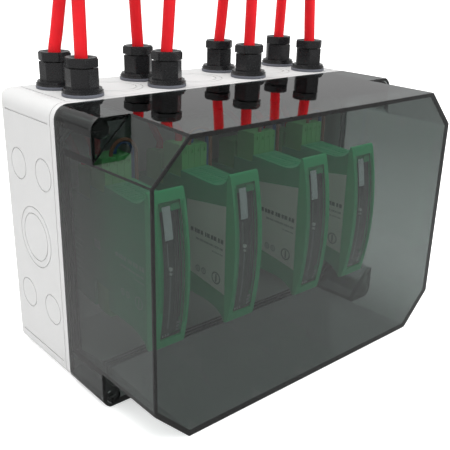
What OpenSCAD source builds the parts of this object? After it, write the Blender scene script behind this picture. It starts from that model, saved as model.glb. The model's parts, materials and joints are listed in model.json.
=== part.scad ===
// Wall-mounted DC combiner box. A grey base holds four DIN-rail modules behind a deep smoked cover,
// and eight solar cables enter through glands in its top. Millimetres, +Z up, the cover faces -Y.
// The origin is the middle of the bottom face.

/* [Enclosure] */
// Width of the enclosure
box_w = 254; // [250:1:262]
// Height of the enclosure
box_h = 180; // [178:1:186]
// Depth from the wall to the front of the cover
box_d = 165; // [163:1:170]
// Depth of the opaque base, from the wall to the seam
base_d = 71.7; // [70:0.1:73]
// Wall thickness of the base and the cover
wall = 3; // [2.5:0.1:3.2]
// Radius of the four long corner edges
corner_r = 9; // [7:0.5:10]
// Radius of the edges around the back
back_r = 3.5; // [2:0.5:4]

/* [Cover] */
// How much narrower the front face is than the rim
front_less_w = 1.4; // [0:0.1:3]
// How much lower the front face is than the rim
front_less_h = 3.4; // [0:0.1:5]
// Leg of the chamfer at each corner of the front face
chamfer = 23.7; // [22:0.1:25]
// Depth of the corner shelves, where the screws sit, behind the front face
shelf_d = 53.4; // [50:0.1:56]

/* [Glands] */
// Distance of the inner gland columns from the middle
gland_in_x = 36; // [34:1:38]
// Distance of the outer gland columns from the middle
gland_out_x = 98; // [96:1:100]
// Distance between the two rows of glands
gland_rows = 33; // [31:0.5:33]
// Diameter of the flange of a gland
flange_dia = 24.8; // [23:0.1:26]
// Across flats of the hexagon of a gland
gland_af = 17.6; // [17:0.1:19]
// Diameter of the solar cable
cable_dia = 7.8; // [6:0.1:7.8]

/* [Modules] */
// Width of one DIN-rail module
mod_w = 22.5; // [22:0.1:22.6]
// Height of the front of a module
mod_h = 99; // [98:0.5:100]
// How far the middle of the front bulges forwards
bulge = 6.5; // [6:0.1:6.6]
// Middle of module 1 across the box
mod_1_x = -90; // [-91:1:-88]
// Middle of module 2 across the box
mod_2_x = -33; // [-36:1:-30]
// Middle of module 3 across the box
mod_3_x = 30; // [27:1:33]
// Middle of module 4 across the box
mod_4_x = 79; // [77:1:80]

/* [Hidden] */

round_fn = 48;

// Where the main faces lie.
mid_z = box_h / 2;
rail_z = mid_z - 1.2;
front_y = -box_d / 2;
back_y = box_d / 2;
seam_y = back_y - base_d;
shelf_y = front_y + shelf_d;
floor_y = back_y - wall;

// Rim, seal and corner screws.
rim_t = 6;
rim_lip = 4;
chamfer_leg = chamfer + (front_less_w + front_less_h) / 2;
rim_in = 7.5;
rim_leg = 14;
seal_line = 4.7;
seal_leg = 15.5;
seal_w = 2.6;
groove_d = 3;
screw_in = 7.5;
screw_shaft_r = 2.25;
screw_bore_r = 2.3;
screw_head_r = 4.4;
screw_head_t = 4;
screw_reach = 16;
pillar_r = 5.5;

// Wall fixing holes and the rail.
fix_x = 104;
fix_z = 66;
fix_r = 2.65;
rail_back_y = 63.5;
rail_h = 35;
rail_d = 7.5;
rail_web = 27;
rail_t = 1;
rail_len = 232;
rail_screw_x = [-108, 0, 108];

// Knock-outs in the side walls.
ko_mid_y = 45.5;
ko_small_r = 10;
ko_inner_r = 15.7;
ko_outer_r = 20;
ko_large_x = [-67, 0, 67];
ko_side_z = 45;
ko_line_in = 12;

// Glands: columns, rows and heights above the bottom of the enclosure.
gland_x = [-gland_out_x, -gland_in_x, gland_in_x, gland_out_x];
gland_mid_y = ko_mid_y - 1;
gland_y = [gland_mid_y - gland_rows / 2, gland_mid_y + gland_rows / 2];
gland_turn = [38, 30, 22, 15, 18, 8, 12, 5];
thread_r = 8;
washer_t = 2;
flange_t = 2.8;
body_h = 11.6;
neck_h = 4;
nut_gap = 0.8;
nut_h = 5.4;
nut_recess = 1.2;
thread_down = 14;
washer_z = box_h;
flange_z = washer_z + washer_t;
hex_z = flange_z + flange_t;
neck_z = hex_z + body_h;
nut_z = neck_z + nut_gap;
nut_top_z = nut_z + nut_h;
seal_bore_r = cable_dia / 2 + 0.05;
core_bore_r = 4.5;

// Solar cables: how far each one leans sideways by the time it reaches its connector.
cable_lean = [0, 7, 3.2, -2, 1.3, 4.4, -2.5, 2];
cable_start_z = 186;
cable_bend_z = 202;
cable_end_z = 240;
core_r = 2.5;

// Modules: heights are counted from the middle of the rail.
mod_x = [mod_1_x, mod_2_x, mod_3_x, mod_4_x];
mod_front_y = -51;
edge_y = mod_front_y + bulge;
split_y = -42;
nose_r = 1.5;
mod_back_y = 61.5;
rear_room_y = 54.2;
skin = 1.6;
half_h = mod_h / 2;
front_r = (half_h * half_h + bulge * bulge) / (2 * bulge);
flare_front = -43;
flare_back = -28;
flare_rise = 9.5;
foot_front = -41;
foot_back = -20;
foot_rise = 8.7;
flare_steps = 6;
step_y = 3.5;
step_2_y = 23;
step_end_y = 43;
shoulder = 41.5;
step_1 = 36.5;
step_2 = 27;
back_top = 24;
back_low = -45;
low_step = -27;
plug_w = 20.32;
plug_l = 17.6;
plug_h = 20;
plug_gap = 0.2;
rear_plug_gap = 0.9;
pole = 5.08;
board_t = 1.6;
board_top = 17.4;

// Flap: a curved window over the front of each module.
window_w = 15.4;
window_low = -43.2;
window_high = 43.2;
flap_gap = 0.2;
flap_t = 1.5;
flap_inset = 0.3;
pin_z = -41.2;
pin_y = -44.9;
pin_r = 0.9;
pin_boss_r = 1.3;
pin_len = 1.3;
panel_y = -43.3;

// Latch at the foot of each module.
latch_w = 9;
lip_top = -14.5;
lip_y = 57.3;
latch_back_y = 61.3;
tab_low = -48;

// Signal wires: each one loops over the side of its module.
wire_r = 1.2;
wire_y = [6.2, 10.2];
wire_start = [-pole / 2, pole / 2];
gap_x = 15.5;
wire_low = -45;
wire_bend_r = 5;

// The four corner screws, seen from the front: low left, low right, top left, top right.
screw_at = [for (sz = [-1, 1], sx = [-1, 1]) [
  sx * (box_w / 2 - screw_in), mid_z + sz * (box_h / 2 - screw_in)]];

// Gland number n, from 0, counts front then rear in each column from the left.
function gland_pos(n) = [gland_x[floor(n / 2)], gland_y[n % 2]];

// Points of an octagon with half sizes a and b, and corner chamfers of leg c.
function oct_points(a, b, c) = [
  [a, b - c], [a - c, b], [c - a, b], [-a, b - c],
  [-a, c - b], [c - a, -b], [a - c, -b], [a, c - b]];

// A ring of points around p, square to the direction d.
function unit(v) = v / norm(v);
function ring_points(p, d, r, n) =
  let (u = unit(cross(d, [0, 1, 0])), w = cross(unit(d), u))
  [for (i = [0 : n - 1]) p + r * (cos(360 * i / n) * u + sin(360 * i / n) * w)];

module round_rect(w, h, r) {
  square([w - 2 * r, h], center = true);
  square([w, h - 2 * r], center = true);
  for (sx = [-1, 1], sy = [-1, 1])
    translate([sx * (w / 2 - r), sy * (h / 2 - r)]) circle(r, $fn = round_fn);
}

// Extrudes a front view from y0 back to y1. The view is centred on the middle of the box.
module along_y(y0, y1) {
  translate([0, y1, mid_z]) rotate([90, 0, 0]) linear_extrude(y1 - y0) children();
}

// The same, growing from the front size by the factors k.
module along_y_tapered(y0, y1, k) {
  translate([0, y0, mid_z]) rotate([-90, 0, 0]) linear_extrude(y1 - y0, scale = k) children();
}

// Extrudes a side view, drawn as [y, z] about the height z0, over a width w centred on x.
module along_x(x, w, z0 = mid_z) {
  translate([x - w / 2, 0, z0]) rotate([90, 0, 90]) linear_extrude(w) children();
}

module rod_y(x, z, r, y0, y1) {
  translate([x, y1, z]) rotate([90, 0, 0]) cylinder(r = r, h = y1 - y0, $fn = round_fn);
}

module rod_z(p, r, z0, z1) {
  translate([p[0], p[1], z0]) cylinder(r = r, h = z1 - z0, $fn = round_fn);
}

module block(x0, x1, y0, y1, z0, z1) {
  translate([x0, y0, z0]) cube([x1 - x0, y1 - y0, z1 - z0]);
}

// A tube swept through the points of a route. Both of its ends are level.
module sweep(route, r, sides) {
  last = len(route) - 1;
  level = [0, 0, sign(route[last][2] - route[0][2])];
  ways = [for (i = [0 : last]) i == 0 || i == last ? level : unit(route[i + 1] - route[i - 1])];
  points = [for (i = [0 : last]) each ring_points(route[i], ways[i], r, sides)];
  walls = [for (i = [0 : last - 1], j = [0 : sides - 1]) [
    i * sides + j, i * sides + (j + 1) % sides, (i + 1) * sides + (j + 1) % sides, (i + 1) * sides + j]];
  bottom = [for (j = [sides - 1 : -1 : 0]) j];
  top = [for (j = [0 : sides - 1]) last * sides + j];
  polyhedron(points, concat(walls, [bottom, top]));
}

// Base -------------------------------------------------------------------------------------------

// A view from above or from the side of the base: its two back corners are rounded.
module back_view(half) {
  turn_y = back_y - back_r;
  difference() {
    translate([seam_y, -half]) square([base_d, 2 * half]);
    for (s = [0, 1]) mirror([0, s]) translate([turn_y, half - back_r]) difference() {
      square(back_r + 1);
      circle(back_r, $fn = round_fn);
    }
  }
}

// Extrudes a view from above, drawn as [y, x], over the whole height.
module along_z(h) {
  translate([0, 0, mid_z - h / 2]) linear_extrude(h) mirror([1, -1]) children();
}

module base_outside() {
  intersection() {
    along_y(seam_y, back_y) round_rect(box_w, box_h, corner_r);
    along_x(0, box_w + 2) back_view(box_h / 2);
    along_z(box_h + 2) back_view(box_w / 2);
  }
}

// The round-cornered ring groove of a knock-out, cut into a face at height h of its own axis.
module ko_groove(r) {
  difference() {
    cylinder(r = r + 0.35, h = 2, center = true, $fn = round_fn);
    cylinder(r = r - 0.35, h = 3, center = true, $fn = round_fn);
  }
}

module ko_group() {
  ko_groove(ko_inner_r);
  ko_groove(ko_outer_r);
}

module knock_outs() {
  depth = 1 - 0.5;
  for (s = [-1, 1]) translate([s * (box_w / 2 + depth), ko_mid_y, mid_z]) rotate([0, 90, 0]) {
    ko_group();
    for (a = [-1, 1], b = [-1, 1])
      translate([a * ko_side_z, b * gland_rows / 2, 0]) ko_groove(ko_small_r);
  }
  for (z = [-depth, box_h + depth]) for (x = ko_large_x) translate([x, ko_mid_y, z]) ko_group();
  for (x = gland_x, y = gland_y) translate([x, y, -depth]) ko_groove(ko_small_r);
}

// Thin lines that frame the knock-outs, and the line round the rim.
module base_lines() {
  cut = 0.5;
  y0 = seam_y + 8;
  y1 = back_y - 7;
  for (s = [-1, 1], t = [-1, 1]) {
    translate([s * (box_w / 2), (y0 + y1) / 2, mid_z + t * (mid_z - ko_line_in)])
      cube([2 * cut, y1 - y0, 0.9], center = true);
    translate([s * (box_w / 2 - ko_line_in), (y0 + y1) / 2, mid_z + t * mid_z])
      cube([0.9, y1 - y0, 2 * cut], center = true);
  }
  along_y(seam_y + 4.6, seam_y + 5.3) difference() {
    square([2 * box_w, 2 * box_h], center = true);
    round_rect(box_w - 2 * cut, box_h - 2 * cut, corner_r - cut);
  }
}

module seal_ring(w, y0, y1) {
  along_y(y0, y1) difference() {
    polygon(oct_points(box_w / 2 - seal_line + w / 2, box_h / 2 - seal_line + w / 2, seal_leg + 0.6 * w / 2));
    polygon(oct_points(box_w / 2 - seal_line - w / 2, box_h / 2 - seal_line - w / 2, seal_leg - 0.6 * w / 2));
  }
}

module base_enclosure() {
  color([0.83, 0.83, 0.82]) difference() {
    union() {
      difference() {
        base_outside();
        along_y(seam_y + rim_t, floor_y) round_rect(box_w - 2 * wall, box_h - 2 * wall, corner_r - wall);
        along_y(seam_y - 1, seam_y + rim_t + 1)
          polygon(oct_points(box_w / 2 - rim_in, box_h / 2 - rim_in, rim_leg));
      }
      for (p = screw_at) rod_y(p[0], p[1], 6, seam_y + 1, floor_y + 1);
      for (x = rail_screw_x) rod_y(x, rail_z, 6, rail_back_y, floor_y + 1);
      for (sx = [-1, 1], sz = [-1, 1]) rod_y(sx * fix_x, mid_z + sz * fix_z, 7, floor_y - 4, floor_y + 1);
    }
    seal_ring(seal_w, seam_y - 1, seam_y + groove_d);
    for (p = screw_at) rod_y(p[0], p[1], screw_bore_r, seam_y - 1, seam_y + screw_reach + 4);
    for (x = rail_screw_x) rod_y(x, rail_z, 1.75, rail_back_y - 1, rail_back_y + 13);
    for (sx = [-1, 1], sz = [-1, 1]) rod_y(sx * fix_x, mid_z + sz * fix_z, fix_r, floor_y - 5, back_y + 1);
    for (n = [0 : 7]) rod_z(gland_pos(n), thread_r + 0.25, box_h - wall - 1, box_h + 1);
    knock_outs();
    base_lines();
  }
}

module cover_seal() {
  color([0.12, 0.12, 0.12]) seal_ring(seal_w - 0.1, seam_y + 0.5, seam_y + groove_d);
}

// Cover ------------------------------------------------------------------------------------------

// A view of the cover from above or from the side: it widens evenly from the front to the rim.
module draft_view(half, less) {
  polygon([[front_y, less - half], [front_y, half - less], [seam_y, half], [seam_y + 1, half],
    [seam_y + 1, -half], [seam_y, -half]]);
}

// Gives its children the draft of the cover, inset by t.
module drafted(t) {
  intersection() {
    children();
    along_x(0, box_w + 2) draft_view(box_h / 2 - t, front_less_h / 2);
    along_z(box_h + 2) draft_view(box_w / 2 - t, front_less_w / 2);
  }
}

// The octagonal dome, inset by t, from y0 to y1.
module dome(t, y0, y1) {
  along_y(y0, y1) polygon(oct_points(box_w / 2 - t, box_h / 2 - t, chamfer_leg - 0.586 * t));
}

// The full rectangle behind the corner shelves, inset by t.
module skirt(t, y0, y1) {
  along_y(y0, y1) round_rect(box_w - 2 * t, box_h - 2 * t, corner_r - t);
}

module transparent_cover() {
  rim_y = seam_y - rim_lip;
  color([0.42, 0.47, 0.45, 0.45]) difference() {
    union() {
      difference() {
        drafted(0) {
          dome(0, front_y, seam_y);
          skirt(0, shelf_y, seam_y);
        }
        drafted(wall) dome(wall, front_y + wall, seam_y + 1);
        drafted(wall) difference() {
          skirt(wall, shelf_y + wall, rim_y);
          dome(0, front_y, seam_y);
          for (p = screw_at) rod_y(p[0], p[1], pillar_r, shelf_y, seam_y);
        }
      }
      difference() {
        skirt(0.3, rim_y, seam_y);
        along_y(rim_y - 1, seam_y + 1)
          polygon(oct_points(box_w / 2 - rim_in, box_h / 2 - rim_in, rim_leg));
      }
      seal_ring(1.4, rim_y + 1, seam_y + 0.5);
    }
    for (p = screw_at) {
      rod_y(p[0], p[1], screw_bore_r, shelf_y, seam_y + 1);
      rod_y(p[0], p[1], screw_head_r + 0.4, shelf_y - 1, shelf_y + screw_head_t + 0.6);
    }
  }
}

// A captive plastic screw with a cross slot in its head.
module cover_screw(n) {
  p = screw_at[n];
  seat_y = shelf_y + screw_head_t + 0.6;
  head_y = seat_y - screw_head_t;
  color([0.30, 0.32, 0.32]) difference() {
    union() {
      rod_y(p[0], p[1], screw_head_r, head_y, seat_y);
      rod_y(p[0], p[1], screw_shaft_r, seat_y - 1, seam_y + screw_reach);
    }
    translate([p[0], head_y, p[1]]) {
      cube([5.4, 3.2, 1.2], center = true);
      cube([1.2, 3.2, 5.4], center = true);
    }
  }
}

// Rail -------------------------------------------------------------------------------------------

module din_rail() {
  lip_y0 = rail_back_y - rail_d;
  side_z = rail_web / 2;
  color([0.72, 0.73, 0.74]) difference() {
    union() {
      block(-rail_len / 2, rail_len / 2, rail_back_y - rail_t, rail_back_y, rail_z - side_z, rail_z + side_z);
      for (s = [0, 1]) translate([0, 0, rail_z]) mirror([0, 0, s]) {
        block(-rail_len / 2, rail_len / 2, lip_y0, rail_back_y, side_z - rail_t, side_z);
        block(-rail_len / 2, rail_len / 2, lip_y0, lip_y0 + rail_t, side_z - rail_t, rail_h / 2);
      }
    }
    for (x = rail_screw_x) rod_y(x, rail_z, 2.1, rail_back_y - 3, rail_back_y + 1);
    for (x = [-90 : 18 : 90]) if (abs(x) > 10) {
      block(x - 4, x + 4, rail_back_y - 3, rail_back_y + 1, rail_z - 2.1, rail_z + 2.1);
      for (s = [-1, 1]) rod_y(x + 4 * s, rail_z, 2.1, rail_back_y - 3, rail_back_y + 1);
    }
  }
}

module rail_screws() {
  head_y = rail_back_y - rail_t;
  color([0.75, 0.75, 0.76]) for (x = rail_screw_x) difference() {
    union() {
      rod_y(x, rail_z, 4, head_y - 2.6, head_y);
      rod_y(x, rail_z, 1.7, head_y - 1, rail_back_y + 12);
    }
    translate([x, head_y - 2.6, rail_z]) cube([5, 2.4, 1], center = true);
    translate([x, head_y - 2.6, rail_z]) cube([1, 2.4, 5], center = true);
  }
}

// Modules ----------------------------------------------------------------------------------------

// Points of a flare, where the waist of a module widens towards its front, from from_y back.
function flare(front, back, rise, from_y) =
  let (start = acos(min(1, (back - from_y) / (back - front))))
  [for (i = [0 : flare_steps])
    let (a = start + (90 - start) * i / flare_steps)
    [back - (back - front) * cos(a), half_h - rise * sin(a)]];

function flipped(points) = [for (i = [len(points) - 1 : -1 : 0]) [points[i][0], -points[i][1]]];

module housing_side() {
  polygon(concat(
    [[split_y, -half_h]],
    flare(flare_front, flare_back, flare_rise, split_y),
    [[step_y, shoulder],
    [step_y, step_1], [step_2_y, step_1], [step_2_y, step_2], [step_end_y, step_2],
    [mod_back_y, back_top], [mod_back_y, 14.5], [57.2, 14.5], [57.2, 17.7],
    [55.8, 17.7], [55.8, -17.8], [mod_back_y, -17.8], [mod_back_y, back_low],
    [step_2_y, back_low - 1], [step_2_y, low_step], [step_y, low_step], [step_y, foot_rise - half_h]],
    flipped(flare(foot_front, foot_back, foot_rise, split_y))));
}

// The room inside a housing, as a side view: the walls around it are about one skin thick.
module housing_room() {
  low = foot_rise + skin - half_h;
  top = half_h - flare_rise - skin;
  rear_low = back_low + skin + 1;
  rear_top = step_2 - skin - 2;
  polygon([
    [split_y - 1, low], [step_y - skin, low], [step_y - skin, low_step + skin],
    [step_2_y + skin, low_step + skin], [step_2_y + skin, rear_low], [rear_room_y, rear_low],
    [rear_room_y, rear_top], [step_2_y - skin, rear_top], [step_2_y - skin, step_1 - skin],
    [step_y - skin, step_1 - skin], [step_y - skin, top], [split_y - 1, top]]);
}

module housing(n) {
  x = mod_x[n];
  color([0.10, 0.42, 0.27]) difference() {
    along_x(x, mod_w, rail_z) housing_side();
    along_x(x, mod_w - 2 * skin, rail_z) housing_room();
    header_room(x, step_y, step_1);
    header_room(x, step_2_y, step_2);
    header_room(x, step_y, low_step + 2);
    block(x - latch_w / 2 - 0.15, x + latch_w / 2 + 0.15, lip_y - 0.2, mod_back_y + 1,
      rail_z + back_low - 1, rail_z - 17);
    for (z = [-30 : 4 : 14], s = [-1, 1])
      translate([x + s * mod_w / 2, 46, rail_z + z - 3]) cube([1, 12, 1.6], center = true);
  }
}

// The way through a shoulder for the pins of a plug.
module header_room(x, y, top) {
  block(x - 9.9, x + 9.9, y + 1.2, y + 16.8, rail_z + top - 4.5, rail_z + top + 1);
}

// The curved outline of the front, pushed back by t.
module front_curve(t) {
  translate([mod_front_y + t + front_r, 0]) circle(front_r, $fn = 360);
}

module hood(n) {
  x = mod_x[n];
  brow = flare(flare_front, flare_back, flare_rise, flare_front);
  color([0.16, 0.62, 0.40]) difference() {
    along_x(x, mod_w, rail_z) difference() {
      intersection() {
        translate([mod_front_y - 1, -half_h]) square([split_y - mod_front_y + 1, mod_h]);
        front_curve(0);
        polygon(concat([[split_y, -half_h - 1], [mod_front_y - 2, -half_h - 1], [mod_front_y - 2, half_h]],
          brow, [[flare_back, -half_h - 1]]));
      }
      for (s = [0, 1]) mirror([0, s]) translate([edge_y - 0.2, half_h - nose_r]) difference() {
        translate([-1, 0]) square([nose_r + 1, nose_r + 1]);
        translate([nose_r, 0]) circle(nose_r, $fn = round_fn);
      }
    }
    // Recess for the flap, down to the front panel.
    along_x(x, window_w, rail_z) translate([mod_front_y - 2, window_low])
      square([panel_y - mod_front_y + 2, window_high - window_low]);
    along_x(x, window_w + 2 * pin_len + 0.3, rail_z) translate([pin_y, pin_z])
      circle(pin_r + 0.06, $fn = round_fn);
  }
}

module flap(n) {
  x = mod_x[n];
  w = window_w - 2 * flap_gap;
  color([0.72, 0.76, 0.76, 0.5]) {
    along_x(x, w, rail_z) difference() {
      union() {
        difference() {
          intersection() {
            translate([mod_front_y - 1, pin_z]) square([8, window_high - flap_gap - pin_z]);
            front_curve(flap_inset);
          }
          front_curve(flap_inset + flap_t);
        }
        translate([pin_y, pin_z]) circle(pin_boss_r, $fn = round_fn);
      }
    }
    along_x(x, w + 2 * pin_len, rail_z) translate([pin_y, pin_z]) circle(pin_r, $fn = round_fn);
  }
}

module foot_latch(n) {
  x = mod_x[n];
  color([0.09, 0.36, 0.24]) union() {
    block(x - latch_w / 2, x + latch_w / 2, lip_y, latch_back_y - 1.4, rail_z + tab_low, rail_z + lip_top);
    block(x - latch_w / 2, x + latch_w / 2, lip_y, latch_back_y, rail_z + tab_low, rail_z - 18.2);
    block(x - latch_w / 2, x + latch_w / 2, lip_y - 2, latch_back_y, rail_z + tab_low, rail_z + tab_low + 2);
  }
}

module circuit_boards() {
  color([0.05, 0.33, 0.22]) for (x = mod_x)
    block(x - board_t / 2, x + board_t / 2, split_y + 4, 52,
      rail_z + low_step + skin + 1, rail_z + board_top);
}

module pin_headers() {
  color([0.12, 0.45, 0.28]) for (x = mod_x) {
    header(x, step_y, board_top, step_1);
    header(x, step_2_y, board_top, step_2);
    header(x, step_y, low_step, low_step + skin + 1);
  }
}

module header(x, y, z0, z1) {
  block(x - 9.6, x + 9.6, y + 1.5, y + 16.5, rail_z + z0, rail_z + z1);
}

// A four-way screw plug. Its rear edge is bevelled, and grooves part its ways.
module plug(x, y0, z0) {
  bevel = 2.5;
  difference() {
    translate([0, 0, z0]) along_x(x, plug_w, rail_z)
      polygon([[y0, 0], [y0, plug_h], [y0 + plug_l - bevel, plug_h],
        [y0 + plug_l, plug_h - bevel], [y0 + plug_l, 0]]);
    for (i = [-1 : 1]) translate([x + i * pole, y0, rail_z + z0 + plug_h / 2])
      cube([0.5, 0.9, plug_h + 2], center = true);
    for (i = [-1.5 : 1.5]) translate([x + i * pole, y0, rail_z + z0 + plug_h - 4])
      rotate([90, 0, 0]) cylinder(r = 1.5, h = 1.6, center = true, $fn = round_fn);
  }
}

module top_plugs() {
  color([0.25, 0.60, 0.38]) for (x = mod_x) {
    plug(x, step_y + plug_gap, step_1);
    plug(x, step_2_y + rear_plug_gap, step_2);
  }
}

module bottom_plugs() {
  color([0.25, 0.60, 0.38]) for (x = mod_x)
    translate([0, 0, rail_z]) mirror([0, 0, 1]) translate([0, 0, -rail_z])
      plug(x, step_y + plug_gap, -low_step);
}

// Glands -----------------------------------------------------------------------------------------

module hexagon(p, af, z0, z1, turn) {
  translate([p[0], p[1], z0]) rotate([0, 0, turn]) cylinder(r = af / sqrt(3), h = z1 - z0, $fn = 6);
}

module gland_bodies() {
  color([0.10, 0.10, 0.10]) for (n = [0 : 7]) let (p = gland_pos(n)) difference() {
    union() {
      rod_z(p, thread_r, flange_z - thread_down - washer_t, flange_z + 1);
      rod_z(p, flange_dia / 2, flange_z, flange_z + 1.4);
      rod_z(p, flange_dia / 2 - 0.8, flange_z + 1.4, hex_z);
      intersection() {
        hexagon(p, gland_af, hex_z - 1, neck_z, -gland_turn[n]);
        rod_z(p, gland_af / 2 + 1.1, hex_z - 1, neck_z);
      }
      rod_z(p, 7, neck_z - 1, neck_z + neck_h);
    }
    rod_z(p, core_bore_r, flange_z - thread_down - washer_t - 1, neck_z + neck_h + 1);
    rod_z(p, 6, neck_z - 6, neck_z + neck_h + 1);
  }
}

module gland_cap_nut(n) {
  p = gland_pos(n);
  bevel = 0.8;
  color([0.10, 0.10, 0.10]) difference() {
    intersection() {
      hexagon(p, 18.4, nut_z, nut_top_z, -gland_turn[n] - 12);
      union() {
        rod_z(p, 10.2, nut_z, nut_top_z - bevel);
        rod_z(p, 9.5, nut_z, nut_top_z);
      }
    }
    rod_z(p, 7.06, nut_z - 1, neck_z + neck_h + 0.2);
    rod_z(p, 5.2, nut_z - 1, nut_top_z + 1);
    translate([p[0], p[1], nut_top_z - nut_recess])
      cylinder(r1 = 5.2, r2 = 7.4, h = nut_recess + 0.01, $fn = round_fn);
  }
}

// The seal grips the cable inside the neck and fills the hole of the cap nut.
module gland_seals() {
  color([0.08, 0.08, 0.08]) for (n = [0 : 7]) let (p = gland_pos(n)) difference() {
    union() {
      rod_z(p, 5.95, neck_z - 5.95, neck_z + neck_h);
      rod_z(p, 5, neck_z, nut_top_z - nut_recess);
    }
    rod_z(p, seal_bore_r, neck_z - 7, nut_top_z + 3);
  }
}

module gland_washers() {
  color([0.45, 0.47, 0.52]) for (n = [0 : 7]) let (p = gland_pos(n)) difference() {
    rod_z(p, flange_dia / 2 + 0.2, washer_z, flange_z);
    rod_z(p, thread_r + 0.1, washer_z - 1, flange_z + 1);
  }
}

module gland_locknuts() {
  top_z = box_h - wall;
  color([0.10, 0.10, 0.10]) for (n = [0 : 7]) let (p = gland_pos(n)) difference() {
    hexagon(p, 22, top_z - 5, top_z, 0);
    rod_z(p, thread_r + 0.05, top_z - 6, top_z + 1);
  }
}

// Cables -----------------------------------------------------------------------------------------

function cable_route(n) =
  let (p = gland_pos(n), d = cable_lean[n]) [
    [p[0], p[1], cable_start_z],
    [p[0], p[1], cable_bend_z],
    [p[0] + d / 3, p[1], 214],
    [p[0] + 2 * d / 3, p[1], 227],
    [p[0] + d, p[1], cable_end_z]];

module cable(n) {
  color([0.85, 0.14, 0.18]) sweep(cable_route(n), cable_dia / 2, 12);
}

// A round solar plug connector: cap, grip, body with two latch arms, and the contact sleeve.
module cable_connector(n) {
  end = cable_route(n)[4];
  color([0.09, 0.09, 0.09]) translate(end) {
    cylinder(r = 7.2, h = 14, $fn = round_fn);
    translate([0, 0, 14]) cylinder(r = 8.8, h = 5, $fn = 12);
    translate([0, 0, 19]) cylinder(r = 7.8, h = 16, $fn = round_fn);
    translate([0, 0, 35]) cylinder(r = 5.2, h = 13, $fn = round_fn);
    for (s = [-1, 1]) translate([s * 6.6 - 1.2, -2.5, 34]) cube([2.4, 5, 12]);
  }
}

// Which way of its plug each solar core goes to, in poles from the middle of the module.
core_pole = [-1.5, -0.5, 1.5, 1.5];
core_y = [step_y + plug_gap + 11, step_2_y + rear_plug_gap + 12];
core_z = [rail_z + step_1 + plug_h, rail_z + step_2 + plug_h];

function core_route(n) =
  let (
    p = gland_pos(n),
    m = floor(n / 2),
    row = n % 2,
    x = mod_x[m] + core_pole[m] * pole,
    y = core_y[row],
    z = core_z[row],
    bow = (164 + z + 8) / 2)
  [[p[0], p[1], cable_start_z], [p[0], p[1], 166], [(p[0] + x) / 2, (p[1] + y) / 2, bow],
    [x, y, z + 5], [x, y, z]];

module cable_cores() {
  color([0.80, 0.16, 0.18]) for (n = [0 : 7]) sweep(core_route(n), core_r, 10);
}

// Each wire leaves the top of a plug, loops over the side of its module and comes back in below.
module signal_wire(x, y, start) {
  loop_r = (gap_x - start) / 2;
  top_z = rail_z + step_1 + plug_h;
  low_z = rail_z + wire_low + wire_bend_r;
  translate([x + start + loop_r, y, top_z]) rotate([90, 0, 0])
    rotate_extrude(angle = 180, $fn = round_fn) translate([loop_r, 0]) circle(wire_r, $fn = round_fn);
  rod_z([x + gap_x, y], wire_r, low_z, top_z);
  translate([x + gap_x - wire_bend_r, y, low_z]) rotate([90, 0, 0])
    rotate_extrude(angle = -90, $fn = round_fn) translate([wire_bend_r, 0]) circle(wire_r, $fn = round_fn);
  translate([x + plug_w / 2, y, low_z - wire_bend_r]) rotate([0, 90, 0])
    cylinder(r = wire_r, h = gap_x - wire_bend_r - plug_w / 2, $fn = round_fn);
}

module signal_wires() {
  for (x = mod_x) {
    color([0.42, 0.29, 0.22]) signal_wire(x, wire_y[0], wire_start[0]);
    color([0.22, 0.36, 0.62]) signal_wire(x, wire_y[1], wire_start[1]);
  }
}

base_enclosure();
transparent_cover();
cover_seal();
cover_screw(0);  // cover_screw_1
cover_screw(1);  // cover_screw_2
cover_screw(2);  // cover_screw_3
cover_screw(3);  // cover_screw_4
din_rail();
rail_screws();
housing(0);  // module_1_housing
housing(1);  // module_2_housing
housing(2);  // module_3_housing
housing(3);  // module_4_housing
hood(0);  // module_1_hood
hood(1);  // module_2_hood
hood(2);  // module_3_hood
hood(3);  // module_4_hood
flap(0);  // module_1_flap
flap(1);  // module_2_flap
flap(2);  // module_3_flap
flap(3);  // module_4_flap
foot_latch(0);  // module_1_foot_latch
foot_latch(1);  // module_2_foot_latch
foot_latch(2);  // module_3_foot_latch
foot_latch(3);  // module_4_foot_latch
circuit_boards();
pin_headers();
top_plugs();
bottom_plugs();
gland_bodies();
gland_cap_nut(0);  // gland_cap_nut_1
gland_cap_nut(1);  // gland_cap_nut_2
gland_cap_nut(2);  // gland_cap_nut_3
gland_cap_nut(3);  // gland_cap_nut_4
gland_cap_nut(4);  // gland_cap_nut_5
gland_cap_nut(5);  // gland_cap_nut_6
gland_cap_nut(6);  // gland_cap_nut_7
gland_cap_nut(7);  // gland_cap_nut_8
gland_seals();
gland_washers();
gland_locknuts();
cable(0);  // cable_1
cable(1);  // cable_2
cable(2);  // cable_3
cable(3);  // cable_4
cable(4);  // cable_5
cable(5);  // cable_6
cable(6);  // cable_7
cable(7);  // cable_8
cable_connector(0);  // cable_connector_1
cable_connector(1);  // cable_connector_2
cable_connector(2);  // cable_connector_3
cable_connector(3);  // cable_connector_4
cable_connector(4);  // cable_connector_5
cable_connector(5);  // cable_connector_6
cable_connector(6);  // cable_connector_7
cable_connector(7);  // cable_connector_8
cable_cores();
signal_wires();
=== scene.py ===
"""DC combiner box: the looks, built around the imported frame. Metres, the same frame as the CAD."""

import json
from math import cos, pi, radians, sin

import bmesh
import bpy
from mathutils import Matrix, Vector


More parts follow.
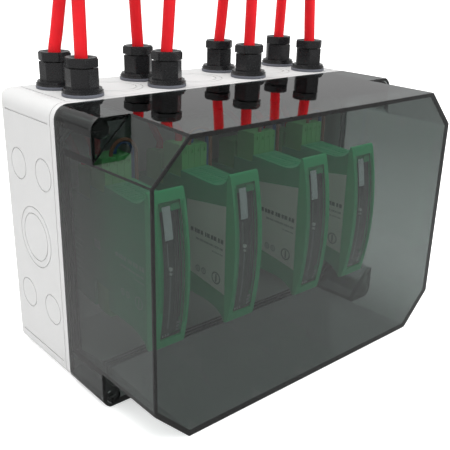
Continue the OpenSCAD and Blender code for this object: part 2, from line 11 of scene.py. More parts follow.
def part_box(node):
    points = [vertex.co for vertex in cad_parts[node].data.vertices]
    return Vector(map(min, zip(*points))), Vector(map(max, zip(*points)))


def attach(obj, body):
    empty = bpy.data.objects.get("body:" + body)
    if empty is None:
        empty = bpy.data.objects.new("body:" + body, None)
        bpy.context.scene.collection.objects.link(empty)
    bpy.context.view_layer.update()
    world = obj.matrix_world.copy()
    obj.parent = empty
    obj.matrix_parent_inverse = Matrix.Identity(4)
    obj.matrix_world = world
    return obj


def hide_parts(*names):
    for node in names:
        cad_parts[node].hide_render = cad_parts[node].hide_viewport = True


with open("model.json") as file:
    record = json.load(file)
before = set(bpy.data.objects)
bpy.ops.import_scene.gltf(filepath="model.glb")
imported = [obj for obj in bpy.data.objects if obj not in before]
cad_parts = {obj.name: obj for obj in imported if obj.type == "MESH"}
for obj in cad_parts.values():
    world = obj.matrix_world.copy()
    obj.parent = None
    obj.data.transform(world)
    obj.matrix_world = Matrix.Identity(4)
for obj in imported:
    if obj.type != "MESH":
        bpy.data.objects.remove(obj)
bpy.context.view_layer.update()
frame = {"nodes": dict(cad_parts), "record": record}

MM = 0.001
MODULES = (1, 2, 3, 4)
CABLES = tuple(range(1, 9))

# Camera ------------------------------------------------------------------------------------------

# It stands ahead of the box, to its left and above it.
CAMERA_AT = Vector((-0.30449, -0.34033, 0.25626))
CAMERA_AZIMUTH = radians(-41.14)
CAMERA_ELEVATION = radians(20.82)
CAMERA_ROLL = radians(1.36)
CAMERA_LENS_MM = 55.23


def make_camera():
    """A still camera with everything in focus."""
    az, el, roll = CAMERA_AZIMUTH, CAMERA_ELEVATION, CAMERA_ROLL
    back = Vector((sin(az) * cos(el), -cos(az) * cos(el), sin(el)))
    level = (-back).cross(Vector((0, 0, 1))).normalized()
    upright = level.cross(-back)
    right = level * cos(roll) + upright * sin(roll)
    up = upright * cos(roll) - level * sin(roll)
    data = bpy.data.cameras.new("camera")
    data.lens = CAMERA_LENS_MM
    data.sensor_width = 36
    data.clip_start = 0.01
    data.dof.use_dof = False
    camera = bpy.data.objects.new("camera", data)
    turn = Matrix((right, up, back)).transposed().to_4x4()
    camera.matrix_world = Matrix.Translation(CAMERA_AT) @ turn
    bpy.context.scene.collection.objects.link(camera)
    bpy.context.scene.camera = camera


make_camera()


# Materials ---------------------------------------------------------------------------------------

CLEAR_IOR = 1.49
CLEAR_WAVINESS = 0.0004
CLEAR_TO_LAMPS = (0.96, 0.96, 0.96, 1)
SMOKE_COLOUR = (0.29, 0.37, 0.345)
SMOKE_DENSITY = 340
WIRES_PART_AT_Y = 8.2 * MM
WIRE_BROWN = (0.24, 0.10, 0.06)
WIRE_BLUE = (0.06, 0.14, 0.40)


class Nodes:
    """A small helper that adds and links shader nodes in one material."""

    def __init__(self, name):
        self.material = bpy.data.materials.new(name)
        self.material.use_nodes = True
        self.tree = self.material.node_tree
        self.shader = self.tree.nodes["Principled BSDF"]
        self.out = self.tree.nodes["Material Output"]
        self.place = self.add("ShaderNodeTexCoord").outputs["Object"]

    def add(self, kind, **values):
        node = self.tree.nodes.new(kind)
        for key, value in values.items():
            if hasattr(node, key):
                setattr(node, key, value)
            else:
                node.inputs[key.replace("_", " ")].default_value = value
        return node

    def link(self, source, target):
        self.tree.links.new(source, target)

    def noise(self, scale, detail=4.0, rough=0.55, stretch=(1, 1, 1)):
        spread = self.add("ShaderNodeMapping", Scale=stretch)
        self.link(self.place, spread.inputs["Vector"])
        node = self.add("ShaderNodeTexNoise", Scale=scale, Detail=detail, Roughness=rough)
        self.link(spread.outputs["Vector"], node.inputs["Vector"])
        return node.outputs["Fac"]

    def remap(self, value, low, high, out_low, out_high):
        node = self.add("ShaderNodeMapRange")
        node.clamp = True
        for key, number in zip(("From Min", "From Max", "To Min", "To Max"), (low, high, out_low, out_high)):
            node.inputs[key].default_value = number
        self.link(value, node.inputs["Value"])
        return node.outputs["Result"]

    def times(self, one, two):
        node = self.add("ShaderNodeMath", operation="MULTIPLY")
        self.link(one, node.inputs[0])
        self.link(two, node.inputs[1])
        return node.outputs["Value"]

    def blend(self, factor, one, two):
        node = self.add("ShaderNodeMix", data_type="RGBA")
        self.link(factor, node.inputs["Factor"])
        for key, colour in (("A", one), ("B", two)):
            socket = [s for s in node.inputs if s.name == key and s.type == "RGBA"][0]
            if isinstance(colour, bpy.types.NodeSocket):
                self.link(colour, socket)
            else:
                socket.default_value = (*colour, 1)
        return [s for s in node.outputs if s.type == "RGBA"][0]

    def colour(self, factor, one, two):
        self.link(self.blend(factor, one, two), self.shader.inputs["Base Color"])

    def roughness(self, factor, low, high):
        self.link(self.remap(factor, 0.3, 0.7, low, high), self.shader.inputs["Roughness"])

    def bump(self, height, strength, distance):
        node = self.add("ShaderNodeBump", Strength=strength, Distance=distance)
        self.link(height, node.inputs["Height"])
        self.link(node.outputs["Normal"], self.shader.inputs["Normal"])


def tone(colour, factor):
    """The same colour, lighter or darker."""
    return tuple(min(1.0, c * factor) for c in colour)


def moulded(name, colour, rough=0.42, grain=1400, grain_height=0.00002, spread=0.05):
    """Moulded plastic: a slightly uneven colour, a fine grain and an uneven sheen."""
    n = Nodes(name)
    fine = n.noise(grain, 5)
    n.colour(n.remap(n.noise(38, 3), 0.3, 0.7, 0, 1), tone(colour, 1 - spread), tone(colour, 1 + spread))
    n.roughness(fine, rough - 0.06, rough + 0.08)
    n.bump(fine, 0.4, grain_height)
    return n.material


def metal(name, colour, rough, stretch=(1, 1, 1)):
    """Plated steel, with drawn lines along the stretch."""
    n = Nodes(name)
    lines = n.noise(900, 3, 0.5, stretch)
    n.colour(n.remap(n.noise(60, 3), 0.3, 0.7, 0, 1), tone(colour, 0.88), tone(colour, 1.08))
    n.roughness(lines, rough - 0.08, rough + 0.1)
    n.shader.inputs["Metallic"].default_value = 1.0
    n.bump(lines, 0.25, 0.00002)
    return n.material


def smoked_clear(name, colour, density, rough=0.01):
    """Clear smoked plastic: its thickness darkens it, and lamps shine through it."""
    n = Nodes(name)
    n.shader.inputs["Base Color"].default_value = (1, 1, 1, 1)
    n.shader.inputs["Transmission Weight"].default_value = 1.0
    n.shader.inputs["IOR"].default_value = CLEAR_IOR
    n.roughness(n.noise(120, 3), rough, rough + 0.01)
    n.bump(n.noise(26, 2), 0.04, CLEAR_WAVINESS)
    path = n.add("ShaderNodeLightPath")
    through = n.add("ShaderNodeBsdfTransparent")
    through.inputs["Color"].default_value = CLEAR_TO_LAMPS
    mix = n.add("ShaderNodeMixShader")
    n.link(path.outputs["Is Shadow Ray"], mix.inputs[0])
    n.link(n.shader.outputs["BSDF"], mix.inputs[1])
    n.link(through.outputs["BSDF"], mix.inputs[2])
    n.link(mix.outputs["Shader"], n.out.inputs["Surface"])
    smoke = n.add("ShaderNodeVolumeAbsorption")
    smoke.inputs["Color"].default_value = (*colour, 1)
    smoke.inputs["Density"].default_value = density
    n.link(smoke.outputs["Volume"], n.out.inputs["Volume"])
    return n.material


def wire_pair(name):
    """The front wire of each pair is brown and the rear one blue."""
    n = Nodes(name)
    split = n.add("ShaderNodeSeparateXYZ")
    n.link(n.place, split.inputs["Vector"])
    low, high = WIRES_PART_AT_Y - 0.5 * MM, WIRES_PART_AT_Y + 0.5 * MM
    n.colour(n.remap(split.outputs["Y"], low, high, 0, 1), WIRE_BROWN, WIRE_BLUE)
    n.roughness(n.noise(500), 0.3, 0.5)
    n.bump(n.noise(900), 0.3, 0.00003)
    return n.material


def cable_sheath(name, colour):
    """Solar cable: a smooth sheath with faint drawn lines along it and a soft sheen."""
    n = Nodes(name)
    lines = n.noise(700, 3, 0.5, (1, 1, 0.03))
    n.colour(n.remap(n.noise(90, 2), 0.3, 0.7, 0, 1), tone(colour, 0.93), tone(colour, 1.07))
    n.roughness(lines, 0.4, 0.55)
    n.shader.inputs["Specular IOR Level"].default_value = 0.2
    n.bump(lines, 0.3, 0.00004)
    return n.material


MATERIALS = {
    "base_grey": moulded("base_grey", (0.475, 0.475, 0.472), 0.5, 1100, 0.00002, 0.015),
    "smoked_clear": smoked_clear("smoked_clear", SMOKE_COLOUR, SMOKE_DENSITY),
    "seal_black": moulded("seal_black", (0.03, 0.03, 0.03), 0.6),
    "screw_smoke": smoked_clear("screw_smoke", SMOKE_COLOUR, SMOKE_DENSITY, 0.05),
    "rail_steel": metal("rail_steel", (0.66, 0.67, 0.68), 0.34, (0.02, 1, 1)),
    "screw_steel": metal("screw_steel", (0.62, 0.62, 0.60), 0.3),
    "module_green": moulded("module_green", (0.040, 0.37, 0.17), 0.5),
    "hood_green": moulded("hood_green", (0.055, 0.54, 0.22), 0.4),
    "flap_clear": smoked_clear("flap_clear", (0.80, 0.84, 0.84), 120, 0.03),
    "latch_green": moulded("latch_green", (0.05, 0.24, 0.13), 0.45),
    "board_green": moulded("board_green", (0.01, 0.12, 0.05), 0.25),
    "header_green": moulded("header_green", (0.06, 0.30, 0.15), 0.4),
    "plug_green": moulded("plug_green", (0.14, 0.50, 0.17), 0.4),
    "gland_black": moulded("gland_black", (0.010, 0.010, 0.011), 0.26, 1300, 0.00002, 0.1),
    "gland_seal": moulded("gland_seal", (0.008, 0.008, 0.008), 0.7),
    "washer_grey": moulded("washer_grey", (0.10, 0.105, 0.125), 0.6),
    "cable_red": cable_sheath("cable_red", (0.60, 0.006, 0.012)),
    "core_red": cable_sheath("core_red", (0.60, 0.02, 0.03)),
    "wire_sleeve": wire_pair("wire_sleeve"),
    "connector_black": moulded("connector_black", (0.012, 0.012, 0.013), 0.38, 1300, 0.00004),
}
PANEL_DARK = moulded("panel_dark", (0.10, 0.105, 0.105), 0.5)
PRINT_LIGHT = moulded("print_light", (0.45, 0.50, 0.49), 0.6)
PRINT_FAINT = moulded("print_faint", (0.22, 0.44, 0.32), 0.6)
PRINT_DARK = moulded("print_dark", (0.12, 0.12, 0.12), 0.6)
PRINT_MID = moulded("print_mid", (0.30, 0.29, 0.28), 0.6)
LABEL_GREY = moulded("label_grey", (0.80, 0.77, 0.72), 0.45, 900, 0.00002, 0.03)
CARD_WHITE = moulded("card_white", (0.86, 0.92, 0.93), 0.5)
# The indicator lenses are real, but their near-white colour is a painted highlight.
LENS_PAINTED_HIGHLIGHT = moulded("lens_painted_highlight", (0.9, 0.9, 0.88), 0.2)

slot_of = {part["node"]: part["material_slot"] for part in frame["record"]["subparts"]}
for node, thing in frame["nodes"].items():
    thing.data.materials.clear()
    thing.data.materials.append(MATERIALS[slot_of[node]])


# Making pieces -----------------------------------------------------------------------------------

SAME_PLACE = 0.002 * MM
SAME_PLANE = radians(0.6)
SHARP_ANGLE = radians(32)
BEVEL_ANGLE = radians(30)


def new_piece(name, mesh, body, slot, material=None):
    """Puts a finished mesh in the scene, riding on a body, in its slot's material or its own."""
    piece = bpy.data.objects.new(name, mesh)
    bpy.context.scene.collection.objects.link(piece)
    mesh.materials.append(material or MATERIALS[slot])
    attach(piece, body)
    return piece


def body_of_node(node):
    """The moving body that a CAD node belongs to."""
    groups = frame["record"]["behaviour"]["bodies"]
    return [body for body, nodes in groups.items() if node in nodes][0]


def smooth(mesh):
    """Smooth shading, broken at the sharp edges."""
    mesh.polygons.foreach_set("use_smooth", [True] * len(mesh.polygons))
    mesh.set_sharp_from_angle(angle=SHARP_ANGLE)


def softened(node, name, width, pick=None, segments=3, sharp=28):
    """A copy of a CAD node with its corner edges rounded, which stands in for the node."""
    bm = bmesh.new()
    bm.from_mesh(frame["nodes"][node].data)
    bmesh.ops.remove_doubles(bm, verts=bm.verts, dist=SAME_PLACE)
    bmesh.ops.dissolve_limit(bm, angle_limit=SAME_PLANE, verts=bm.verts, edges=bm.edges)
    edges = [
        e for e in bm.edges
        if len(e.link_faces) == 2 and e.calc_face_angle(0) > radians(sharp) and (pick is None or pick(e))
    ]
    bmesh.ops.bevel(
        bm, geom=edges, offset=width, offset_type="OFFSET", segments=segments,
        profile=0.5, affect="EDGES", clamp_overlap=True,
    )
    mesh = bpy.data.meshes.new(name)
    bm.to_mesh(mesh)
    bm.free()
    smooth(mesh)
    piece = new_piece(name, mesh, body_of_node(node), slot_of[node])
    piece.modifiers.new("normals", "WEIGHTED_NORMAL").keep_sharp = True
    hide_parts(node)


class Sheet:
    """Collects thin solids, and makes one mesh of them. Sizes are in millimetres."""

    def __init__(self):
        self.bm = bmesh.new()

    def solid(self, front, back):
        """Closes the space between two outlines with the same number of points."""
        near = [self.bm.verts.new(Vector(p) * MM) for p in front]
        far = [self.bm.verts.new(Vector(p) * MM) for p in back]
        count = len(near)
        self.bm.faces.new(near)
        self.bm.faces.new(list(reversed(far)))
        for i in range(count):
            j = (i + 1) % count
            self.bm.faces.new((near[j], near[i], far[i], far[j]))

    def finish(self, name, body, slot, material=None, bevel=0.0):
        bmesh.ops.recalc_face_normals(self.bm, faces=self.bm.faces)
        if bevel:
            edges = [e for e in self.bm.edges if e.calc_face_angle(0) > BEVEL_ANGLE]
            bmesh.ops.bevel(
                self.bm, geom=edges, offset=bevel * MM, segments=2, profile=0.5, affect="EDGES",
                clamp_overlap=True,
            )
        mesh = bpy.data.meshes.new(name)
        self.bm.to_mesh(mesh)
        self.bm.free()
        smooth(mesh)
        new_piece(name, mesh, body, slot, material)


# Cables ------------------------------------------------------------------------------------------

GLAND_X = (-98, -36, 36, 98)
GLAND_Y = (28, 61)
CABLE_LEAN = (0, 7, 3.2, -2, 1.3, 4.4, -2.5, 2)
LEAN_BY_HEIGHT = ((186, 0), (202, 0), (214, 1 / 3), (227, 2 / 3), (240, 1))
CABLE_D = 7.8 * MM


def cable_route(number):
    """The points of a cable, from inside its gland up to its connector. Its upper part leans."""
    x, y = GLAND_X[(number - 1) // 2], GLAND_Y[(number - 1) % 2]
    lean = CABLE_LEAN[number - 1]
    return [Vector((x + share * lean, y, z)) * MM for z, share in LEAN_BY_HEIGHT]


def make_cable(number):
    """A smooth cable, with its CAD connector at its far end."""
    route = cable_route(number)
    data = bpy.data.curves.new(f"solar_cable_{number}", "CURVE")
    data.dimensions = "3D"
    data.bevel_depth = CABLE_D / 2
    data.bevel_resolution = 5
    data.resolution_u = 8
    data.use_fill_caps = True
    spline = data.splines.new("BEZIER")
    spline.bezier_points.add(len(route) - 1)
    for point, place in zip(spline.bezier_points, route):
        point.co = place
        point.handle_left_type = point.handle_right_type = "AUTO"
    data.materials.append(MATERIALS["cable_red"])
    piece = bpy.data.objects.new(f"solar_cable_{number}", data)
    bpy.context.scene.collection.objects.link(piece)
    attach(piece, "base")
    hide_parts(f"cable_{number}")


for cable in CABLES:
    make_cable(cable)


# Cover -------------------------------------------------------------------------------------------

COVER_ROUNDING = 1.2 * MM
COVER_HALF_H = 90 * MM
COVER_RIM_BACK = 92 * MM
SHORTEST_EDGE = 3 * MM
NEAR_SIDE = 1.2 * MM
NEAR_TOP = 2.2 * MM
NEAR_FRONT = 0.1 * MM


def on_cover_outside(point):
    """Whether a point is on the sides, the top, the bottom or the front of the cover."""
    low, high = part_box("transparent_cover")
    on_side = abs(abs(point.x) - high.x) < NEAR_SIDE
    on_top = abs(abs(point.z - COVER_HALF_H) - COVER_HALF_H) < NEAR_TOP
    return on_side or on_top or point.y < low.y + NEAR_FRONT


def cover_edge(e):
    """The cover's outer edges: not those of its screw holes, its rim or its inside."""
    ends = [v.co for v in e.verts]
    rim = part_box("transparent_cover")[0].y + COVER_RIM_BACK
    before_rim = max(p.y for p in ends) <= rim and min(p.y for p in ends) < rim
    return before_rim and e.calc_length() >= SHORTEST_EDGE and any(on_cover_outside(p) for p in ends)


softened("transparent_cover", "clear_cover", COVER_ROUNDING, cover_edge, 3, 20)
for corner in (1, 2, 3, 4):
    softened(f"cover_screw_{corner}", f"cover_screw_{corner}_moulded", 0.3 * MM)


# Glands ------------------------------------------------------------------------------------------

softened("gland_bodies", "gland_bodies_moulded", 0.35 * MM)
softened("gland_washers", "gland_washers_moulded", 0.5 * MM)
for cable in CABLES:
    softened(f"gland_cap_nut_{cable}", f"gland_cap_nut_{cable}_moulded", 0.4 * MM)


# Modules -----------------------------------------------------------------------------------------

# Millimetres. Heights are from the middle of the rail, and sideways places from a module's middle.
RAIL_Z = 88.8
FRONT_Y = -51
BULGE = 6.5
HALF_H = 49.5
WAIST_TOP = 40
SHOULDER = 41.5
HOOD_CORNER_R = 2.6
FRONT_R = (HALF_H * HALF_H + BULGE * BULGE) / (2 * BULGE)
PANEL_Y = -43.3
FLAP_IN = 0.3
FLAP_T = 1.5
BEHIND_FLAP = FLAP_IN + FLAP_T

CARD_X = (-4.6, 0.9)
CARD_Z = (21.0, 40.0)
CARD_T = 0.5
PLATE_HALF_W = 7.5
PLATE_Z = (-42.6, 37.0)
GUIDES = 4
GUIDE_X = 1.6
GUIDE_PITCH = 1.5
GUIDE_W = 0.5
GUIDE_T = 0.8
GUIDE_FOOT_Z = -30
CLIP_X = (1.3, 7.5)
CLIP_Z = (37.2, 41.2)
CLIP_T = 0.9

TICKS = 28
TICK_X = -2.4
TICK_FOOT_Z = -36
TICK_PITCH = 1.25
TICK_H = 0.5
TICK_W = 1.0
LONG_TICK_W = 1.5
MARK_T = 0.2
SCALE_LINE_X = (-3.4, -3.1)
SCALE_LINE_Z = (5, 19)
FOOT_BLOCKS = 3
FOOT_BLOCK_X = (4.6, 6.9)
FOOT_BLOCK_Z = -40
FOOT_BLOCK_PITCH = 2.6
FOOT_BLOCK_H = 1.6
FOOT_DOT_X = (-5.5, -4.3)
FOOT_DOT_Z = (-41.4, -40)
FOOT_DOT_PITCH = 2
LENS_X = -1.2
LENS_DEPTH = 1.5
LENSES = ((1.2, 3.0), (0.8, 0.0))

LABEL_OUTLINE = ((-41.8, -30.5), (-3.5, -25), (-3.5, 24), (-41.8, 29))
LABEL_T = 0.14
LABEL_PRINT_Z = 3.6
BARE_PRINT_Z = 0.4
BOLD_ROW_Y = (-40, -7)
FINE_ROW_Y = (-39.5, -12)
SHORT_ROW_Y = (-39.5, -29)
BIG_RING = (-33.5, -21.5, 4.3)
SMALL_RINGS = ((-21, -21, 2.4), (-15, -21, 2.4))
RING_SIDES = 20
RING_T = 0.9
BADGE_Y = (12, 20)
BADGE_Z = (-3, 3)
BOLD_BLOCKS = (0.9, 0.7, 1, 0.8, 1, 0.6, 0.9, 1, 0.8, 1)
FINE_BLOCKS = (1, 0.7, 0.9, 1, 0.6, 1, 0.8, 1, 0.9, 0.7, 1, 0.8, 1, 0.6)

VENT_RIBS = 9
VENT_PITCH = 3.1
VENT_W = 1.2
VENT_OFF = 4.9
VENT_HALF = 3.9
VENT_START = (-28, WAIST_TOP)
VENT_END = (3.5, SHOULDER)


def module_middle(number):
    """The sideways place of the middle of a module."""
    low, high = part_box(f"module_{number}_hood")
    return (low.x + high.x) / 2 / MM


def front_y(z, inset):
    """Where the curved front of a module lies at a height from its middle, pushed back by an inset."""
    return FRONT_Y + inset + FRONT_R - (FRONT_R * FRONT_R - z * z) ** 0.5


def curved_card(sheet, x0, x1, z0, z1, inset, thick, steps=6):
    """A thin strip that follows the curve of the front."""
    heights = [z0 + (z1 - z0) * i / steps for i in range(steps + 1)]
    ring = [(z, front_y(z, inset)) for z in heights]
    ring += [(z, front_y(z, inset + thick)) for z in reversed(heights)]
    sheet.solid([(x0, y, RAIL_Z + z) for z, y in ring], [(x1, y, RAIL_Z + z) for z, y in ring])


def block(sheet, x, y, z):
    """A box between pairs of limits, with heights from the middle of the rail."""
    front = [(x[0], y[0], z[0]), (x[1], y[0], z[0]), (x[1], y[0], z[1]), (x[0], y[0], z[1])]
    sheet.solid(
        [(px, y[0], RAIL_Z + pz) for px, _, pz in front],
        [(px, y[1], RAIL_Z + pz) for px, _, pz in front],
    )


def marker_card(number):
    """The blank white marker card that sits behind the upper left of the flap."""
    x = module_middle(number)
    sheet = Sheet()
    curved_card(sheet, x + CARD_X[0], x + CARD_X[1], *CARD_Z, BEHIND_FLAP + 0.1, CARD_T)
    sheet.finish(f"marker_card_{number}", "base", "base_grey", CARD_WHITE, 0.12)


def face_plate(number):
    """The dark face behind the flap, with ribbed light guides, and a green clip above it."""
    x = module_middle(number)
    plate = Sheet()
    block(plate, (x - PLATE_HALF_W, x + PLATE_HALF_W), (PANEL_Y - 0.4, PANEL_Y - 0.02), PLATE_Z)
    for guide in range(GUIDES):
        left = x + GUIDE_X + GUIDE_PITCH * guide
        curved_card(plate, left, left + GUIDE_W, GUIDE_FOOT_Z, PLATE_Z[1], BEHIND_FLAP + 0.7, GUIDE_T)
    plate.finish(f"face_plate_{number}", "base", "gland_black", PANEL_DARK, 0.1)
    clip = Sheet()
    curved_card(clip, x + CLIP_X[0], x + CLIP_X[1], *CLIP_Z, BEHIND_FLAP + 0.1, CLIP_T)
    clip.finish(f"face_clip_{number}", "base", "hood_green", None, 0.2)


def face_ticks(number):
    """Small printed ticks and blocks behind the flap, and two small indicator lenses whose near-white colour
    is a painted highlight.
    """
    x = module_middle(number)
    deep = BEHIND_FLAP + 0.5
    ticks = Sheet()
    for i in range(TICKS):
        width = LONG_TICK_W if i % 4 == 0 else TICK_W
        left, z = x + TICK_X, TICK_FOOT_Z + TICK_PITCH * i
        curved_card(ticks, left, left + width, z, z + TICK_H, deep, MARK_T, 1)
    curved_card(ticks, x + SCALE_LINE_X[0], x + SCALE_LINE_X[1], *SCALE_LINE_Z, deep, MARK_T)
    for i in range(FOOT_BLOCKS):
        z = FOOT_BLOCK_Z + FOOT_BLOCK_PITCH * i
        left, right = x + FOOT_BLOCK_X[0], x + FOOT_BLOCK_X[1]
        curved_card(ticks, left, right, z, z + FOOT_BLOCK_H, deep, MARK_T, 1)
        left, right = (x + side + FOOT_DOT_PITCH * i for side in FOOT_DOT_X)
        curved_card(ticks, left, right, *FOOT_DOT_Z, deep, MARK_T, 1)
    ticks.finish(f"face_ticks_{number}", "base", "base_grey", PRINT_LIGHT)
    lens = Sheet()
    turn = [2 * pi * i / 16 for i in range(16)]
    for size, z in LENSES:
        y = front_y(z, deep)
        rim = [(x + LENS_X + size * cos(a), RAIL_Z + z + size * sin(a)) for a in turn]
        lens.solid([(px, y, pz) for px, pz in rim], [(px, y + LENS_DEPTH, pz) for px, pz in rim])
    lens.finish(f"face_lens_{number}", "base", "flap_clear", LENS_PAINTED_HIGHLIGHT, 0.3)


def print_row(sheet, x, y, z, high, gap, blocks):
    """A row of short bars that stands in for a printed line."""
    step = (y[1] - y[0]) / len(blocks)
    for i, share in enumerate(blocks):
        start = y[0] + step * i
        block(sheet, x, (start, start + step * share - gap), (z, z + high))


def ring_mark(sheet, x, y, z, r):
    """A printed ring with a bar inside it."""
    for i in range(RING_SIDES):
        a, b = 2 * pi * i / RING_SIDES, 2 * pi * (i + 1) / RING_SIDES
        quad = [(r, a), (r, b), (r - RING_T, b), (r - RING_T, a)]
        sheet.solid(
            [(x[0], y + q * cos(t), RAIL_Z + z + q * sin(t)) for q, t in quad],
            [(x[1], y + q * cos(t), RAIL_Z + z + q * sin(t)) for q, t in quad],
        )
    block(sheet, x, (y - 0.6, y + 0.6), (z - r + 1.6, z + r - 1.6))


def side_prints(bold, fine, x, z):
    """Stand-in print: a bold row at a height, two fine rows below it, and three ring marks."""
    print_row(fine, x, FINE_ROW_Y, z - 4.6, 1.5, 0.35, FINE_BLOCKS)
    print_row(fine, x, SHORT_ROW_Y, z - 8.2, 0.9, 0.3, FINE_BLOCKS[:6])
    print_row(bold, x, BOLD_ROW_Y, z, 2.9, 0.5, BOLD_BLOCKS)
    ring_mark(bold, x, *BIG_RING)
    for ring in SMALL_RINGS:
        ring_mark(fine, x, *ring)


def side_label(number):
    """The rating label on the left of a module. Its prints are blank bars and rings."""
    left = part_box(f"module_{number}_housing")[0].x / MM
    label = Sheet()
    label.solid(
        [(left - LABEL_T, y, RAIL_Z + z) for y, z in LABEL_OUTLINE],
        [(left + 0.02, y, RAIL_Z + z) for y, z in LABEL_OUTLINE],
    )
    label.finish(f"side_label_{number}", "base", "base_grey", LABEL_GREY)
    bold, fine = Sheet(), Sheet()
    side_prints(bold, fine, (left - 0.18, left - 0.1), LABEL_PRINT_Z)
    bold.finish(f"label_print_{number}", "base", "gland_black", PRINT_DARK)
    fine.finish(f"label_fine_{number}", "base", "gland_black", PRINT_MID)


def bare_side(number):
    """The side of a module with no label: faint prints straight on its plastic."""
    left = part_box(f"module_{number}_housing")[0].x / MM
    x = (left - 0.05, left + 0.02)
    bold, fine = Sheet(), Sheet()
    side_prints(bold, fine, x, BARE_PRINT_Z)
    block(bold, x, BADGE_Y, BADGE_Z)
    bold.finish(f"side_print_{number}", "base", "base_grey", PRINT_FAINT)
    fine.finish(f"side_fine_{number}", "base", "base_grey", PRINT_FAINT)


def vent_ribs(number):
    """Short ribs in rows along the shoulder of a module, between its hood and its plugs."""
    x = module_middle(number)
    ribs = Sheet()
    slope = (VENT_END[1] - VENT_START[1]) / (VENT_END[0] - VENT_START[0])
    for i in range(VENT_RIBS):
        y = VENT_START[0] + 1.5 + VENT_PITCH * i
        z = VENT_START[1] + slope * (y - VENT_START[0])
        for side in (-1, 1):
            middle = x + side * VENT_OFF
            block(ribs, (middle - VENT_HALF, middle + VENT_HALF), (y, y + VENT_W), (z - 0.4, z + 0.5))
    ribs.finish(f"vent_ribs_{number}", "base", "module_green", None, 0.2)


def corner_of(hood):
    """A test for the long upright edges at the front corners of a hood."""
    low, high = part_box(hood)
    front = low.y + (BULGE + 0.3) * MM

    def test(e):
        one, two = (v.co for v in e.verts)
        outer = all(min(abs(p.x - low.x), abs(p.x - high.x)) < 0.01 * MM for p in (one, two))
        upright = abs(one.z - two.z) > 0.2 * abs(one.y - two.y)
        return outer and upright and max(one.y, two.y) < front

    return test


for module in MODULES:
    hood = f"module_{module}_hood"
    softened(f"module_{module}_housing", f"module_{module}_housing_moulded", 0.5 * MM)
    softened(hood, hood + "_moulded", HOOD_CORNER_R * MM, corner_of(hood), 4, 20)
    softened(f"module_{module}_flap", f"module_{module}_flap_clear", 0.25 * MM)
    softened(f"module_{module}_foot_latch", f"module_{module}_foot_latch_moulded", 0.4 * MM)
    marker_card(module)
    face_plate(module)
    face_ticks(module)
    vent_ribs(module)
    if module == 1:
        bare_side(module)
    else:
        side_label(module)

softened("top_plugs", "top_plugs_moulded", 0.35 * MM)
softened("bottom_plugs", "bottom_plugs_moulded", 0.35 * MM)


# Studio ------------------------------------------------------------------------------------------

SKY_STRENGTH = 1.2
MIRRORED_HORIZON = 0.42
MIRRORED_TOP = 1.0
FLOOR_SIZE = 6
FLOOR_PALE = ((0.90, 0.90, 0.90), (0.93, 0.93, 0.93))
# Painted reflection: the floor's colour where the cover mirrors it. FLOOR_GLOW is painted light from a floor
# that is no lamp.
FLOOR_PAINTED_REFLECTION = ((0.36, 0.36, 0.36), (0.26, 0.26, 0.26))
FLOOR_GLOW = 0.45
FADE_FROM = 0.2
FADE_TO = 0.7
FADE_AT_BOX = 0.6
LAMPS = (
    ("key", (-0.35, -0.75, 1.6), (0, 0, 0.1), (0.9, 0.9), 14),
    ("fill", (1.2, -1.0, 0.8), (0, 0, 0.1), (1.0, 1.0), 10),
    ("top", (-0.2, 0.5, 1.6), (0, 0.05, 0.15), (0.6, 0.8), 14),
)


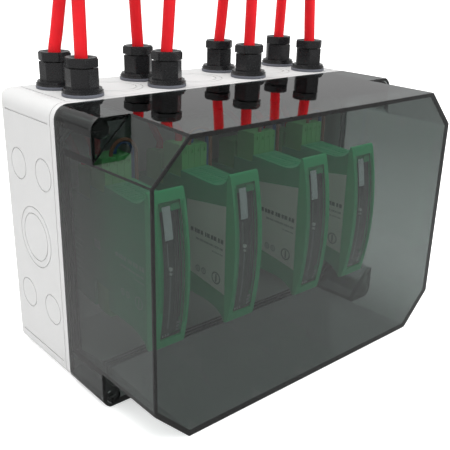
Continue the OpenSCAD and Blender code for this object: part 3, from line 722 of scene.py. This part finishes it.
def make_floor():
    """A pale floor. Seen in or through the cover it is painted darker, a painted reflection, and it fades
    away from the box. It also glows, painted light that lightens its shade, though not for diffuse rays.
    """
    bm = bmesh.new()
    bmesh.ops.create_grid(bm, x_segments=1, y_segments=1, size=FLOOR_SIZE)
    mesh = bpy.data.meshes.new("floor")
    bm.to_mesh(mesh)
    bm.free()
    n = Nodes("floor")
    pale = n.blend(n.remap(n.noise(3, 2), 0.3, 0.7, 0, 1), *FLOOR_PALE)
    path = n.add("ShaderNodeLightPath")
    place = n.add("ShaderNodeNewGeometry")
    distance = n.add("ShaderNodeVectorMath", operation="LENGTH")
    n.link(place.outputs["Position"], distance.inputs[0])
    away = n.remap(distance.outputs["Value"], FADE_FROM, FADE_TO, FADE_AT_BOX, 1)
    n.colour(path.outputs["Is Glossy Ray"], pale, n.blend(away, *FLOOR_PAINTED_REFLECTION))
    faded = n.times(path.outputs["Is Glossy Ray"], away)
    # The floor's emission, which diffuse rays do not see: a painted glow.
    seen = n.remap(path.outputs["Is Diffuse Ray"], 0, 1, FLOOR_GLOW, 0)
    n.link(n.times(n.remap(faded, 0, 1, 1, 0), seen), n.shader.inputs["Emission Strength"])
    n.shader.inputs["Roughness"].default_value = 0.9
    n.shader.inputs["Specular IOR Level"].default_value = 0.1
    n.shader.inputs["Emission Color"].default_value = (1, 1, 1, 1)
    mesh.materials.append(n.material)
    floor = bpy.data.objects.new("floor", mesh)
    bpy.context.scene.collection.objects.link(floor)


def area_light(name, place, aim, size, power):
    """A soft lamp that lights the scene but is not itself seen or mirrored."""
    data = bpy.data.lights.new(name, "AREA")
    data.shape = "RECTANGLE"
    data.size, data.size_y = size
    data.energy = power
    lamp = bpy.data.objects.new(name, data)
    turn = (Vector(aim) - Vector(place)).to_track_quat("-Z", "Y").to_matrix().to_4x4()
    lamp.matrix_world = Matrix.Translation(place) @ turn
    bpy.context.scene.collection.objects.link(lamp)
    lamp.visible_camera = False
    lamp.visible_transmission = False
    lamp.visible_glossy = False


def make_world():
    """Even white light. What glossy surfaces mirror is grey at the horizon and bright overhead."""
    world = bpy.data.worlds.new("studio")
    world.use_nodes = True
    tree = world.node_tree
    place = tree.nodes.new("ShaderNodeTexCoord")
    split = tree.nodes.new("ShaderNodeSeparateXYZ")
    ramp = tree.nodes.new("ShaderNodeMapRange")
    path = tree.nodes.new("ShaderNodeLightPath")
    glossy = tree.nodes.new("ShaderNodeMix")
    ramp.inputs["From Min"].default_value = 0.0
    ramp.inputs["From Max"].default_value = 0.9
    ramp.inputs["To Min"].default_value = MIRRORED_HORIZON
    ramp.inputs["To Max"].default_value = MIRRORED_TOP
    tree.links.new(place.outputs["Generated"], split.inputs["Vector"])
    tree.links.new(split.outputs["Z"], ramp.inputs["Value"])
    tree.links.new(path.outputs["Is Glossy Ray"], glossy.inputs["Factor"])
    glossy.inputs["A"].default_value = SKY_STRENGTH
    tree.links.new(ramp.outputs["Result"], glossy.inputs["B"])
    tree.links.new(glossy.outputs["Result"], tree.nodes["Background"].inputs["Strength"])
    tree.nodes["Background"].inputs["Color"].default_value = (1, 1, 1, 1)
    bpy.context.scene.world = world


make_floor()
make_world()
for lamp in LAMPS:
    area_light(*lamp)
bpy.context.scene.view_settings.view_transform = "Standard"
